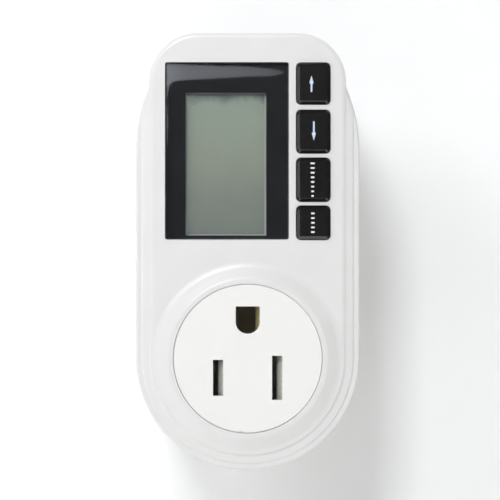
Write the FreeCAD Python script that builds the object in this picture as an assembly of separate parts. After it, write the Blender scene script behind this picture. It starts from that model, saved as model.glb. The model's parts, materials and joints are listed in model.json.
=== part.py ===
import FreeCAD, Part
import math
import os

# Plug-in power meter for a three-pin wall outlet.  It plugs into the wall with the blades on its
# back, and an appliance plugs into the round socket on its front, below the display.
#
# Frame, in millimetres: +Z is up, the front faces -Y and +X is to the right of a person reading
# the display.  The origin is midway between the two plug blades, on the face that meets the wall.

# ---- outline of the case, seen from the front -------------------------------------------------
SOCKET_Z = 4.15          # centre of the round socket above the blades
TOP_Z = 74.1             # top of the head
CASE_HALF = 24.1         # half width of both shells, and radius of their round lower end
LEDGE_HALF = 22.9        # half width of the fine ledge round the front panel
PANEL_HALF = 21.2        # half width of the raised front panel, and of the head
HEAD_R = 10.6            # corner radius of the head
FLANK_R = 34.85          # radius of the flanks, where the belly narrows to the head
FLANK_Z = 48.6           # height where the flanks start to narrow
NOTCH_R = 4.0            # hollow blend between flank and head
CASE_EDGE = 0.45         # roundings of the outer edges
PARTING_EDGE = 0.25
BACK_EDGE = 3.0

# ---- planes across the depth ------------------------------------------------------------------
RIM_Y = -37.2            # rim of the collar round the socket
DISC_Y = -37.0           # face of the socket insert
PANEL_Y = -36.0          # front panel
LEDGE_Y = -35.7          # front of the ledge, where it meets the panel
LEDGE_FALL = 0.17        # how far its face slopes back towards its outer edge
CASE_Y = -35.3           # front of the case outside the ledge
PANEL_BACK_Y = -33.8     # inner side of the front panel
FLANGE_Y = -32.4         # back of the socket insert's flange
DISPLAY_BOARD_Y = -28.0  # front side of the display board
PARTING_Y = -24.0        # joint between the two shells
RETAINER_Y = -18.5       # front side of the plate behind the socket insert
POWER_BOARD_Y = -13.0    # front side of the power board
CLAMP_Y = -8.5           # front side of the blade clamp
REAR_INNER_Y = -3.5
REAR_Y = -1.5            # back of the rear shell
PLUG_FACE_Y = 0.0        # plug boss, which meets the wall plate

WALL = 2.0
LIP = 0.85               # thickness of the rear shell's lip
BOARD = 1.6
GAP = 0.1                # general assembly gap

# ---- plug and socket, to the American three-pin pattern ---------------------------------------
BLADE_X = 6.35
GROUND_Z = 11.89
BLADE_THICK = 1.5
BLADE_HALF = 3.175
BLADE_LONG = 17.5
GROUND_R = 2.375
GROUND_NECK_R = 2.2
GROUND_NECK_Y = 0.4       # the neck ends here, just clear of the case
GROUND_LONG = 20.6
SLOT_WIDE = 2.2
HOT_SLOT_HALF = 3.875
NEUTRAL_SLOT_HALF = 4.75
DISC_R = 15.98
DISC_HOLE_R = 16.05
OPENING_R = 2.6          # half width of the ground opening
OPENING_Z = 12.05        # where its round lower end begins
OPENING_TOP_Z = 15.35
FACE = 1.9               # thickness of the insert's face over the contacts
COLLAR_R = 17.2          # where the line of the collar's flank would meet its flat rim
COLLAR_FOOT_R = 20.1     # where it would meet the panel
COLLAR_EDGE = 1.1        # rounding between the rim and the flank
COLLAR_SWEEP = 3.2       # hollow rounding between the flank and the panel

# ---- display, to the left of the keys ---------------------------------------------------------
WINDOW = (-17.7, 8.8, 29.75, 67.75)      # x0, x1, z0, z1 of the flush window
WINDOW_THICK = 1.2
WINDOW_CORNER = 0.45
WINDOW_BEVEL = 0.3
MASK_THICK = 0.2
VIEW = (-13.4, 4.0, 30.55, 61.35)        # the clear area, where the liquid crystal shows
LCD = (-14.6, 5.4, 28.1, 62.9)
LCD_Y = -33.2
LCD_THICK = 2.0

# ---- keys: name, lower and upper edge ---------------------------------------------------------
KEYS = (
    ("up", 58.85, 67.6),
    ("down", 48.35, 57.45),
    ("overload", 37.95, 47.15),
    ("cost", 29.75, 36.85),
)
KEY_X = 14.1
KEY_HALF = 3.55
KEY_Y = -36.9
KEY_CORNER = 0.9
KEY_BEVEL = 0.65
KEY_GAP = 0.2
KEY_TRAVEL = 0.5         # how far a key goes in, towards +Y
SWITCH_HALF = 3.0
SWITCH_Y = -31.5         # front of the switch housings
BUTTON_FOOT_Y = SWITCH_Y + 0.9

# ---- fasteners: x, z --------------------------------------------------------------------------
CASE_SCREWS = ((-20.2, 25.0), (20.2, 25.0), (-14.4, -10.1), (14.4, -10.1), (0.0, 68.4))
BOARD_SCREWS = ((-12.5, 25.2), (8.0, 25.2), (-12.5, 65.4), (8.0, 65.4))
SOCKET_SCREWS = ((-18.7, SOCKET_Z), (18.7, SOCKET_Z))
POWER_SCREWS = ((-13.0, 60.0), (13.0, 62.0), (0.0, 23.2))
CLAMP_SCREWS = ((-11.2, 9.5), (11.2, 9.5))
SCREW_SEAT_Y = -10.0     # where the heads of the case screws sit, down their wells

# ---- inside -----------------------------------------------------------------------------------
DISPLAY_BACK_Y = DISPLAY_BOARD_Y + BOARD
STRAP = 0.6              # thickness of the brass straps
LEAF = 0.6               # thickness of the contact leaves
SADDLE_TOP_Z = 15.85     # top of the ground contact
STRAP_TOP_Z = 22.0       # where the straps turn towards the power board
LINE_STRAP_Y = CLAMP_Y - 1.6
LOAD_STRAP_Y = -15.4
LOAD_X = -13.25          # where the load strap and the shunt meet the power board
CELL_X, CELL_Z, CELL_R = -6.8, 53.0, 8.0
BUZZER_X, BUZZER_Z, BUZZER_R = 10.2, 56.0, 5.5


# ---- plain shapes -----------------------------------------------------------------------------
def vec(x, y, z):
    return FreeCAD.Vector(x, y, z)


def box(x0, x1, y0, y1, z0, z1):
    return Part.makeBox(x1 - x0, y1 - y0, z1 - z0, vec(x0, y0, z0))


def rod(x, z, radius, y0, y1):
    """A cylinder along Y."""
    return Part.makeCylinder(radius, y1 - y0, vec(x, y0, z), vec(0, 1, 0))


def fused(first, *others):
    shape = first.fuse(list(others))
    return shape.removeSplitter()


def prism(wire, y0, y1):
    """A wire drawn in the plane y = 0, carried from y0 to y1."""
    face = Part.Face(wire)
    face.translate(vec(0, y0, 0))
    return face.extrude(vec(0, y1 - y0, 0))


def rounded_box(x0, x1, y0, y1, z0, z1, corner):
    """A box whose four edges along Y are rounded."""
    block = box(x0, x1, y0, y1, z0, z1)
    upright = [e for e in block.Edges if abs(e.tangentAt(e.FirstParameter).y) > 0.9]
    return block.makeFillet(corner, upright)


def edges_at(shape, y):
    """The edges that lie in the plane at y."""
    found = []
    for edge in shape.Edges:
        bounds = edge.BoundBox
        if abs(bounds.YMin - y) < 1e-4 and abs(bounds.YMax - y) < 1e-4:
            found.append(edge)
    return found


def cross(x, z, reach, width, y0, y1):
    """Two crossed bars, for the recess of a screw head."""
    half = width / 2
    flat = box(x - reach, x + reach, y0, y1, z - half, z + half)
    return flat.fuse(box(x - half, x + half, y0, y1, z - reach, z + reach))


def screw(x, z, seat_y, tip_y, head_r, head_high, shank_r):
    """A pan-head screw along Y with its head beyond seat_y, away from the tip."""
    inward = 1 if tip_y > seat_y else -1
    crown_y = seat_y - inward * head_high
    low_head, high_head = sorted((seat_y, crown_y))
    low_shank, high_shank = sorted((seat_y, tip_y))
    head = rod(x, z, head_r, low_head, high_head)
    head = head.makeFillet(head_high * 0.45, edges_at(head, crown_y))
    body = fused(head, rod(x, z, shank_r, low_shank, high_shank))
    low_cut, high_cut = sorted((crown_y, crown_y + inward * head_high * 0.6))
    return body.cut(cross(x, z, head_r * 0.55, head_r * 0.26, low_cut, high_cut))


def group(shapes):
    return Part.makeCompound(list(shapes))


# ---- outlines ---------------------------------------------------------------------------------
def circles_meet(x1, z1, r1, x2, z2, r2):
    """The meeting point of two circles with the larger x."""
    span = math.hypot(x2 - x1, z2 - z1)
    along = (r1 * r1 - r2 * r2 + span * span) / (2 * span)
    aside = math.sqrt(r1 * r1 - along * along)
    ux, uz = (x2 - x1) / span, (z2 - z1) / span
    return x1 + ux * along + uz * aside, z1 + uz * along - ux * aside


def arc_about(cx, cz, radius, start, end):
    """The short arc about cx, cz from start to end, both (x, z)."""
    mx = (start[0] + end[0]) / 2 - cx
    mz = (start[1] + end[1]) / 2 - cz
    stretch = radius / math.hypot(mx, mz)
    middle = vec(cx + mx * stretch, 0, cz + mz * stretch)
    return Part.Arc(vec(start[0], 0, start[1]), middle, vec(end[0], 0, end[1])).toShape()


def line(start, end):
    return Part.LineSegment(vec(start[0], 0, start[1]), vec(end[0], 0, end[1])).toShape()


def half_circle(half):
    """The round lower end, about the centre of the socket."""
    left, right = vec(-half, 0, SOCKET_Z), vec(half, 0, SOCKET_Z)
    return Part.Arc(left, vec(0, 0, SOCKET_Z - half), right).toShape()


def case_outline(half, inset=0.0):
    """Round belly, flanks narrowing on arcs, and the head, all moved in by inset."""
    flank_x = half - FLANK_R
    head_x, head_z = PANEL_HALF - HEAD_R, TOP_Z - HEAD_R
    blend_x, blend_z = circles_meet(
        flank_x, FLANK_Z, FLANK_R + NOTCH_R, head_x, head_z, HEAD_R + NOTCH_R)
    share_low = (FLANK_R - inset) / (FLANK_R + NOTCH_R)
    share_high = (HEAD_R - inset) / (HEAD_R + NOTCH_R)
    low = (flank_x + (blend_x - flank_x) * share_low, FLANK_Z + (blend_z - FLANK_Z) * share_low)
    high = (head_x + (blend_x - head_x) * share_high, head_z + (blend_z - head_z) * share_high)
    side = half - inset
    top = TOP_Z - inset
    right = [
        line((side, SOCKET_Z), (side, FLANK_Z)),
        arc_about(flank_x, FLANK_Z, FLANK_R - inset, (side, FLANK_Z), low),
        arc_about(blend_x, blend_z, NOTCH_R + inset, low, high),
        arc_about(head_x, head_z, HEAD_R - inset, high, (head_x, top)),
    ]
    left = [edge.mirror(vec(0, 0, 0), vec(1, 0, 0)) for edge in right]
    edges = right + [line((head_x, top), (-head_x, top))] + left + [half_circle(side)]
    return Part.Wire(Part.sortEdges(edges)[0])


def panel_outline(half, corner=HEAD_R):
    """Straight sides, a round lower end and two rounded upper corners."""
    top = TOP_Z - (PANEL_HALF - half)
    shoulder = top - corner
    edges = [
        line((half, SOCKET_Z), (half, shoulder)),
        arc_about(half - corner, shoulder, corner, (half, shoulder), (half - corner, top)),
        line((half - corner, top), (corner - half, top)),
        arc_about(corner - half, shoulder, corner, (corner - half, top), (-half, shoulder)),
        line((-half, shoulder), (-half, SOCKET_Z)),
        half_circle(half),
    ]
    return Part.Wire(Part.sortEdges(edges)[0])


# ---- front shell ------------------------------------------------------------------------------
def collar():
    """The raised ring round the socket: a flat rim and a cone that runs out into the panel."""
    slope = math.atan((PANEL_Y - RIM_Y) / (COLLAR_FOOT_R - COLLAR_R))
    edge_r = COLLAR_R - COLLAR_EDGE * math.tan(slope / 2)
    foot_r = COLLAR_FOOT_R + COLLAR_SWEEP * math.tan(slope / 2)

    def at(radius, y):
        return vec(radius, y, SOCKET_Z)

    def on_edge(angle):
        return at(edge_r + COLLAR_EDGE * math.sin(angle),
                  RIM_Y + COLLAR_EDGE * (1 - math.cos(angle)))

    def on_foot(angle):
        return at(foot_r - COLLAR_SWEEP * math.sin(angle),
                  PANEL_Y - COLLAR_SWEEP * (1 - math.cos(angle)))

    inner, inner_back = at(DISC_HOLE_R, RIM_Y), at(DISC_HOLE_R, PANEL_BACK_Y)
    outer_back = at(foot_r, PANEL_BACK_Y)
    edges = [
        Part.LineSegment(inner, on_edge(0)).toShape(),
        Part.Arc(on_edge(0), on_edge(slope / 2), on_edge(slope)).toShape(),
        Part.LineSegment(on_edge(slope), on_foot(slope)).toShape(),
        Part.Arc(on_foot(slope), on_foot(slope / 2), on_foot(0)).toShape(),
        Part.LineSegment(on_foot(0), outer_back).toShape(),
        Part.LineSegment(outer_back, inner_back).toShape(),
        Part.LineSegment(inner_back, inner).toShape(),
    ]
    return Part.Face(Part.Wire(edges)).revolve(vec(0, 0, SOCKET_Z), vec(0, 1, 0), 360)


def tier(half, levels, back_y):
    """A slab with the panel's outline whose front edge slopes through levels, each (inset, y)."""
    sections = []
    for inset, y in levels:
        wire = panel_outline(half - inset, HEAD_R - inset)
        wire.translate(vec(0, y, 0))
        sections.append(wire)
    return Part.makeLoft(sections, True, True).fuse(prism(panel_outline(half), levels[-1][1], back_y))


def front_shell():
    panel = tier(PANEL_HALF, ((0.9, PANEL_Y), (0.45, PANEL_Y + 0.1), (0, LEDGE_Y)), PANEL_BACK_Y)
    step = LEDGE_HALF - PANEL_HALF
    ledge = tier(LEDGE_HALF, ((step + 0.1, LEDGE_Y), (0.35, LEDGE_Y + LEDGE_FALL), (0, CASE_Y)),
                 CASE_Y + 0.5)
    ledge = ledge.common(prism(case_outline(CASE_HALF, 0.6), LEDGE_Y, PANEL_BACK_Y))
    body = prism(case_outline(CASE_HALF), CASE_Y, PARTING_Y)
    body = body.makeFillet(CASE_EDGE, edges_at(body, CASE_Y))
    body = body.makeFillet(PARTING_EDGE, edges_at(body, PARTING_Y))
    shell = fused(body, ledge, panel, collar())

    shell = shell.cut(prism(case_outline(CASE_HALF, WALL), PANEL_BACK_Y, PARTING_Y))
    rabbet = case_outline(CASE_HALF, WALL - LIP - GAP)
    shell = shell.cut(prism(rabbet, PARTING_Y - 1.7, PARTING_Y))
    shell = shell.cut(rod(0, SOCKET_Z, DISC_HOLE_R, RIM_Y - 1, PANEL_BACK_Y))

    root_y = PANEL_BACK_Y - 0.5
    posts = [rod(x, z, 2.4, root_y, PARTING_Y) for x, z in CASE_SCREWS]
    posts += [rod(x, z, 1.4, root_y, DISPLAY_BOARD_Y) for x, z in BOARD_SCREWS]
    posts += [rod(x, z, 1.7, root_y, RETAINER_Y) for x, z in SOCKET_SCREWS]
    shell = fused(shell, *posts)

    x0, x1, z0, z1 = WINDOW
    ledge_y = PANEL_Y + WINDOW_THICK + MASK_THICK
    holes = [rounded_box(x0 - GAP, x1 + GAP, PANEL_Y - 1, ledge_y, z0 - GAP, z1 + GAP,
                         WINDOW_CORNER + GAP)]
    x0, x1, z0, z1 = VIEW
    holes.append(box(x0 - 0.3, x1 + 0.3, ledge_y - 1, PANEL_BACK_Y + 1, z0 - 0.15, z1 + 0.3))
    for _, low, high in KEYS:
        holes.append(rounded_box(
            KEY_X - KEY_HALF - KEY_GAP, KEY_X + KEY_HALF + KEY_GAP, PANEL_Y - 1,
            PANEL_BACK_Y + 1, low - KEY_GAP, high + KEY_GAP, KEY_CORNER + KEY_GAP))
    holes += [rod(x, z, 1.2, PARTING_Y - 7.5, PARTING_Y) for x, z in CASE_SCREWS]
    holes += [rod(x, z, 0.8, DISPLAY_BOARD_Y - 4.2, DISPLAY_BOARD_Y) for x, z in BOARD_SCREWS]
    holes += [rod(x, z, 0.9, RETAINER_Y - 6.0, RETAINER_Y) for x, z in SOCKET_SCREWS]
    for hole in holes:
        shell = shell.cut(hole)
    return shell.removeSplitter()


# ---- rear shell -------------------------------------------------------------------------------
def rear_shell():
    lip_high = 1.5
    shell = prism(case_outline(CASE_HALF), PARTING_Y, REAR_Y)
    shell = shell.makeFillet(BACK_EDGE, edges_at(shell, REAR_Y))
    shell = shell.makeFillet(PARTING_EDGE, edges_at(shell, PARTING_Y))
    lip = prism(case_outline(CASE_HALF, WALL - LIP), PARTING_Y - lip_high, PARTING_Y + 1)
    for x, z in CASE_SCREWS:
        lip = lip.cut(rod(x, z, 2.6, PARTING_Y - lip_high, PARTING_Y))
    shell = fused(shell, lip)
    shell = shell.cut(prism(case_outline(CASE_HALF, WALL), PARTING_Y - lip_high, REAR_INNER_Y))

    boss = rod(0, SOCKET_Z, 17.5, REAR_Y - 1, PLUG_FACE_Y)
    boss = boss.makeChamfer(0.4, edges_at(boss, PLUG_FACE_Y))
    posts = [rod(x, z, 3.4, PARTING_Y + GAP, REAR_Y - 1) for x, z in CASE_SCREWS]
    posts += [rod(x, z, 2.2, POWER_BOARD_Y + BOARD, REAR_INNER_Y + 1) for x, z in POWER_SCREWS]
    inside = prism(case_outline(CASE_HALF, 0.5), PARTING_Y - lip_high, REAR_Y)
    posts = [post.common(inside) for post in posts]
    shell = fused(shell, boss, *posts)

    holes = []
    for x, z in CASE_SCREWS:
        holes.append(rod(x, z, 2.8, SCREW_SEAT_Y, PLUG_FACE_Y))
        holes.append(rod(x, z, 1.5, PARTING_Y - 2, SCREW_SEAT_Y))
    holes += [rod(x, z, 0.9, POWER_BOARD_Y + BOARD, -5.5) for x, z in POWER_SCREWS]
    holes += [rod(x, z, 0.9, REAR_INNER_Y, -1.0) for x, z in CLAMP_SCREWS]
    for side in (-1, 1):
        x = side * BLADE_X
        half = BLADE_THICK / 2 + GAP
        holes.append(box(x - half, x + half, REAR_INNER_Y - 1, 1, -BLADE_HALF - GAP,
                         BLADE_HALF + GAP))
    holes.append(rod(0, GROUND_Z, GROUND_R + GAP, REAR_INNER_Y - 1, 1))
    for hole in holes:
        shell = shell.cut(hole)
    return shell.removeSplitter()


def rating_label():
    """A blank label on the back of the case."""
    return rounded_box(-13.0, 13.0, REAR_Y, REAR_Y + 0.12, 29.0, 57.0, 1.5)


# ---- plug -------------------------------------------------------------------------------------
def blade(side):
    """A flat blade with a shoulder inside the case, a solder tab and a hole near the tip."""
    x = side * BLADE_X
    half = BLADE_THICK / 2
    body = box(x - half, x + half, REAR_INNER_Y, BLADE_LONG, -BLADE_HALF, BLADE_HALF)
    body = body.makeChamfer(0.45, edges_at(body, BLADE_LONG))
    shoulder = box(x - half, x + half, REAR_INNER_Y - 1.8, REAR_INNER_Y, -4.6, 4.6)
    tab = box(x - half, x + half, CLAMP_Y - 2.1, REAR_INNER_Y, -1.75, 1.75)
    hole = Part.makeCylinder(1.6, 4, vec(x - 2, 11.9, 0), vec(1, 0, 0))
    return fused(body, shoulder, tab).cut(hole)


def ground_pin():
    """A round pin with a turned neck in the case, a flange behind it and a riveted end."""
    tip_round = 1.5
    pin = rod(0, GROUND_Z, GROUND_R, GROUND_NECK_Y, GROUND_LONG)
    pin = pin.makeFillet(tip_round, edges_at(pin, GROUND_LONG))
    neck = rod(0, GROUND_Z, GROUND_NECK_R, REAR_INNER_Y, GROUND_NECK_Y)
    flange = rod(0, GROUND_Z, 3.6, REAR_INNER_Y - 1.8, REAR_INNER_Y)
    rivet = rod(0, GROUND_Z, 1.5, CLAMP_Y - 3.1, REAR_INNER_Y)
    return fused(pin, neck, flange, rivet)


def blade_clamp():
    """The moulded disc that holds the blades and the ground pin against the rear shell."""
    clamp = rod(0, SOCKET_Z + 0.75, 14.6, CLAMP_Y, REAR_INNER_Y)
    clamp = clamp.makeChamfer(0.6, edges_at(clamp, CLAMP_Y))
    for side in (-1, 1):
        x = side * BLADE_X
        half = BLADE_THICK / 2 + 0.05
        clamp = clamp.cut(box(x - half, x + half, REAR_INNER_Y - 1.8, REAR_INNER_Y, -4.65, 4.65))
        clamp = clamp.cut(box(x - half, x + half, CLAMP_Y, REAR_INNER_Y, -1.8, 1.8))
    clamp = clamp.cut(rod(0, GROUND_Z, 3.65, REAR_INNER_Y - 1.8, REAR_INNER_Y))
    clamp = clamp.cut(rod(0, GROUND_Z, 1.55, CLAMP_Y, REAR_INNER_Y))
    for x, z in CLAMP_SCREWS:
        clamp = clamp.cut(rod(x, z, 1.3, CLAMP_Y, REAR_INNER_Y))
    return clamp


# ---- socket -----------------------------------------------------------------------------------
def ground_opening(y0, y1):
    """A hole with a round lower end and a flat top."""
    block = rounded_box(-OPENING_R, OPENING_R, y0, y1, OPENING_Z, OPENING_TOP_Z, 0.3)
    block = block.fuse(box(-OPENING_R, OPENING_R, y0, y1, OPENING_Z, OPENING_Z + 1.5))
    return block.fuse(rod(0, OPENING_Z, OPENING_R, y0, y1))


def socket_insert():
    """The round face with its three openings, and the block behind it that holds the contacts."""
    face_back_y = DISC_Y + FACE
    disc = rod(0, SOCKET_Z, DISC_R, DISC_Y, PANEL_BACK_Y)
    disc = disc.makeFillet(0.15, edges_at(disc, DISC_Y))
    flange = rod(0, SOCKET_Z, 17.6, PANEL_BACK_Y, FLANGE_Y)
    block = rod(0, SOCKET_Z, 15.0, FLANGE_Y, RETAINER_Y)
    insert = fused(disc, flange, block)
    for side, half in ((-1, HOT_SLOT_HALF), (1, NEUTRAL_SLOT_HALF)):
        x = side * BLADE_X
        insert = insert.cut(box(x - SLOT_WIDE / 2, x + SLOT_WIDE / 2, DISC_Y - 1, RETAINER_Y,
                                -half, half))
        insert = insert.cut(box(x - 2.6, x + 2.6, face_back_y, RETAINER_Y, -5.2, 5.2))
    insert = insert.cut(ground_opening(DISC_Y - 1, RETAINER_Y))
    insert = insert.cut(box(-3.3, 3.3, face_back_y, RETAINER_Y, 8.6, 15.95))
    insert = insert.cut(box(-1.65, -0.95, DISC_Y - 1, DISC_Y + 0.4, SOCKET_Z - DISC_R - 1,
                            SOCKET_Z - DISC_R + 0.45))
    for x, z in SOCKET_SCREWS:
        insert = insert.cut(rod(x, z, 1.9, PANEL_BACK_Y - 0.1, FLANGE_Y))
    return insert


def contact_retainer():
    """The plate that closes the insert, clamps it into the front shell and caps the ground pin."""
    back_y = RETAINER_Y + 2.0
    pocket_y = RETAINER_Y + 2.6
    cap_y = pocket_y + 1.0
    plate = rod(0, SOCKET_Z, 15.6, RETAINER_Y, back_y)
    ears = [rod(x, z, 2.2, RETAINER_Y, back_y) for x, z in SOCKET_SCREWS]
    bridge = box(-18.7, 18.7, RETAINER_Y, back_y, SOCKET_Z - 2.2, SOCKET_Z + 2.2)
    cap = rounded_box(-3.6, 3.6, RETAINER_Y, cap_y, 8.5, 17.0, 1.5)
    plate = fused(plate, bridge, cap, *ears)
    plate = plate.cut(box(-BLADE_X - 0.4, -BLADE_X + 0.4, RETAINER_Y, back_y, -1.85, 1.85))
    plate = plate.cut(box(BLADE_X - 0.4, BLADE_X + 0.4, RETAINER_Y, back_y, -4.7, -2.1))
    plate = plate.cut(ground_opening(RETAINER_Y, pocket_y))
    plate = plate.cut(box(-1.6, 1.6, RETAINER_Y, cap_y, SADDLE_TOP_Z - LEAF - GAP,
                          SADDLE_TOP_Z + GAP))
    for x, z in SOCKET_SCREWS:
        plate = plate.cut(rod(x, z, 1.15, RETAINER_Y, back_y))
    return plate


def leaf(hand, inner, low_z, high_z):
    """A bent spring leaf: inner gives x, y along its inner side, and hand the side of its metal."""
    near = [vec(x, y, low_z) for x, y in inner]
    far = [vec(x + hand * LEAF, y, low_z) for x, y in reversed(inner)]
    outline = Part.makePolygon(near + far + near[:1])
    return Part.Face(outline).extrude(vec(0, 0, high_z - low_z))


def blade_contact(side, leaf_half, tail_low, tail_high, tail_y):
    """Two leaves that pinch a blade, joined at the back, with a tail through the retainer.

    The right leaf leans further over the slot than the left one."""
    x = side * BLADE_X
    back_y = RETAINER_Y - GAP
    root_y = back_y - LEAF
    left = ((x - 1.9, -34.8), (x - 1.35, -31.7), (x - 0.85, -27.0), (x - 1.4, -23.0),
            (x - 1.4, root_y))
    right = ((x + 1.35, -34.8), (x + 0.85, -34.35), (x + 0.35, -33.4), (x - 0.05, -31.7),
             (x + 0.6, -26.0), (x + 0.6, root_y))
    parts = [leaf(-1, left, -leaf_half, leaf_half), leaf(1, right, -leaf_half, leaf_half)]
    parts.append(box(x - 1.4 - LEAF, x + 0.6 + LEAF, root_y, back_y, -leaf_half, leaf_half))
    parts.append(box(x - LEAF / 2, x + LEAF / 2, root_y, tail_y, tail_low, tail_high))
    return fused(*parts)


def ground_contact():
    """A saddle round the ground pin: a fixed leaf, a sprung one and a tail along its top.

    The sprung leaf, on the right, presses the pin against the fixed one."""
    front_y, waist_y, seat_y, back_y = -33.0, -30.4, -27.6, -19.2
    fixed_x, sprung_x = -2.45, 2.1
    fixed = ((-2.65, front_y), (fixed_x, waist_y), (fixed_x, back_y))
    sprung = ((2.65, front_y), (2.2, -32.55), (1.85, -31.7), (1.68, waist_y), (sprung_x, seat_y),
              (sprung_x, back_y))
    low_z, top_z = 9.7, SADDLE_TOP_Z
    parts = [leaf(-1, fixed, low_z, top_z), leaf(1, sprung, low_z, top_z)]
    parts.append(box(fixed_x, sprung_x, seat_y, back_y, top_z - LEAF, top_z))
    parts.append(box(-1.5, 1.5, back_y, CLAMP_Y - 2.0, top_z - LEAF, top_z))
    return fused(*parts)


# ---- straps between plug, socket and power board ----------------------------------------------
def riser(x, y0, low_z, tab_y0, tab_y1):
    """An upright strip whose top is bent towards the power board."""
    strip = box(x - 1.75, x + 1.75, y0, y0 + STRAP, low_z, STRAP_TOP_Z)
    tab = box(x - 1.25, x + 1.25, tab_y0, tab_y1, STRAP_TOP_Z - STRAP, STRAP_TOP_Z)
    return fused(strip, tab)


def line_strap():
    """From the hot blade to the power board."""
    y0 = LINE_STRAP_Y
    strap = riser(-BLADE_X, y0, -2.8, POWER_BOARD_Y - 0.5, y0 + STRAP)
    half = BLADE_THICK / 2
    return strap.cut(box(-BLADE_X - half, -BLADE_X + half, y0, y0 + STRAP, -1.75, 1.75))


def neutral_strap():
    """From the neutral blade to the neutral contact and the power board."""
    y0 = LINE_STRAP_Y
    strap = riser(BLADE_X, y0, -5.6, POWER_BOARD_Y - 0.5, y0 + STRAP)
    half = BLADE_THICK / 2
    strap = strap.cut(box(BLADE_X - half, BLADE_X + half, y0, y0 + STRAP, -1.75, 1.75))
    return strap.cut(box(BLADE_X - 0.3, BLADE_X + 0.3, y0, y0 + STRAP, -4.6, -2.2))


def load_strap():
    """From the power board, after the shunt, to the hot contact."""
    y0 = LOAD_STRAP_Y
    strap = riser(LOAD_X, y0, -2.4, y0, POWER_BOARD_Y + BOARD + 0.5)
    strap = fused(strap, box(LOAD_X, -5.0, y0, y0 + STRAP, -2.4, 2.4))
    return strap.cut(box(-BLADE_X - 0.3, -BLADE_X + 0.3, y0, y0 + STRAP, -1.75, 1.75))


def ground_strap():
    """From the ground contact's tail to the rivet of the ground pin."""
    y0 = CLAMP_Y - 2.6
    strap = box(-2.6, 2.6, y0, y0 + STRAP, 9.3, SADDLE_TOP_Z + 0.9)
    strap = strap.makeFillet(0.8, [e for e in strap.Edges if abs(e.tangentAt(0).y) > 0.9])
    strap = strap.cut(rod(0, GROUND_Z, 1.5, y0, y0 + STRAP))
    return strap.cut(box(-1.5, 1.5, y0, y0 + STRAP, SADDLE_TOP_Z - LEAF, SADDLE_TOP_Z))


# ---- display ----------------------------------------------------------------------------------
def display_window():
    x0, x1, z0, z1 = WINDOW
    plate = rounded_box(x0, x1, PANEL_Y, PANEL_Y + WINDOW_THICK, z0, z1, WINDOW_CORNER)
    return plate.makeChamfer(WINDOW_BEVEL, edges_at(plate, PANEL_Y))


def window_mask():
    """The black border behind the window, open over the liquid crystal."""
    x0, x1, z0, z1 = WINDOW
    y0 = PANEL_Y + WINDOW_THICK
    mask = rounded_box(x0, x1, y0, y0 + MASK_THICK, z0, z1, WINDOW_CORNER)
    x0, x1, z0, z1 = VIEW
    return mask.cut(box(x0, x1, y0, y0 + MASK_THICK, z0, z1))


def lcd_glass():
    """Two bonded glass plates; the front one is shorter and bares the contact edges."""
    x0, x1, z0, z1 = LCD
    front = box(x0 + 0.2, x1 - 0.2, LCD_Y, LCD_Y + LCD_THICK / 2, z0 + 0.2, z1 - 0.2)
    return fused(front, box(x0, x1, LCD_Y + LCD_THICK / 2, LCD_Y + LCD_THICK, z0, z1))


def lcd_frame():
    x0, x1, z0, z1 = LCD
    wall = 0.7
    frame = rounded_box(x0 - wall, x1 + wall, LCD_Y - 0.4, DISPLAY_BOARD_Y, z0 - wall, z1 + wall,
                        0.5)
    frame = frame.cut(box(x0, x1, LCD_Y, DISPLAY_BOARD_Y, z0, z1))
    return frame.cut(box(x0 + 0.7, x1 - 0.7, LCD_Y - 1, LCD_Y, z0 + 1.2, z1 - 1.0))


def zebra_strips():
    """The two striped rubber strips that join the glass to the board."""
    x0, x1, z0, z1 = LCD
    y0 = LCD_Y + LCD_THICK
    low = box(x0 + 0.6, x1 - 0.6, y0, DISPLAY_BOARD_Y, z0 + 0.2, z0 + 2.2)
    high = box(x0 + 0.6, x1 - 0.6, y0, DISPLAY_BOARD_Y, z1 - 2.2, z1 - 0.2)
    return group((low, high))


def display_board():
    y0 = DISPLAY_BOARD_Y
    board = box(-17.4, 17.8, y0, y0 + BOARD, 23.4, 67.2)
    board = board.common(prism(case_outline(CASE_HALF, WALL + 0.5), y0, y0 + BOARD))
    for x, z in BOARD_SCREWS:
        board = board.cut(rod(x, z, 1.0, y0, y0 + BOARD))
    for x, z in CASE_SCREWS:
        board = board.cut(rod(x, z, 2.9, y0, y0 + BOARD))
    return board


# ---- keys -------------------------------------------------------------------------------------
def key(low, high):
    """A key cap with a bevelled face, side flanges that keep it in, and a pad on the switch."""
    left, right = KEY_X - KEY_HALF, KEY_X + KEY_HALF
    flange_y = PANEL_BACK_Y + KEY_GAP
    cap = rounded_box(left, right, KEY_Y, flange_y, low, high, KEY_CORNER)
    cap = cap.makeChamfer(KEY_BEVEL, edges_at(cap, KEY_Y))
    flange = box(left - 0.6, right + 0.6, flange_y, flange_y + 0.8, low + 1.8, high - 1.8)
    pad = rod(KEY_X, (low + high) / 2, 2.0, flange_y + 0.8, SWITCH_Y - 0.8)
    return fused(cap, flange, pad)


def switch_button(low, high):
    """The actuator of a tactile switch, which moves with the key above it."""
    return rod(KEY_X, (low + high) / 2, 1.7, SWITCH_Y - 0.8, BUTTON_FOOT_Y)


def tactile_switches():
    """The four switch housings on the display board."""
    housings = []
    for _, low, high in KEYS:
        middle = (low + high) / 2
        housing = box(KEY_X - SWITCH_HALF, KEY_X + SWITCH_HALF, SWITCH_Y, DISPLAY_BOARD_Y,
                      middle - SWITCH_HALF, middle + SWITCH_HALF)
        housing = housing.makeFillet(0.5, [e for e in housing.Edges
                                           if abs(e.tangentAt(0).y) > 0.9])
        well_y = BUTTON_FOOT_Y + KEY_TRAVEL + 0.4
        housings.append(housing.cut(rod(KEY_X, middle, 1.85, SWITCH_Y, well_y)))
    return group(housings)


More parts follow.
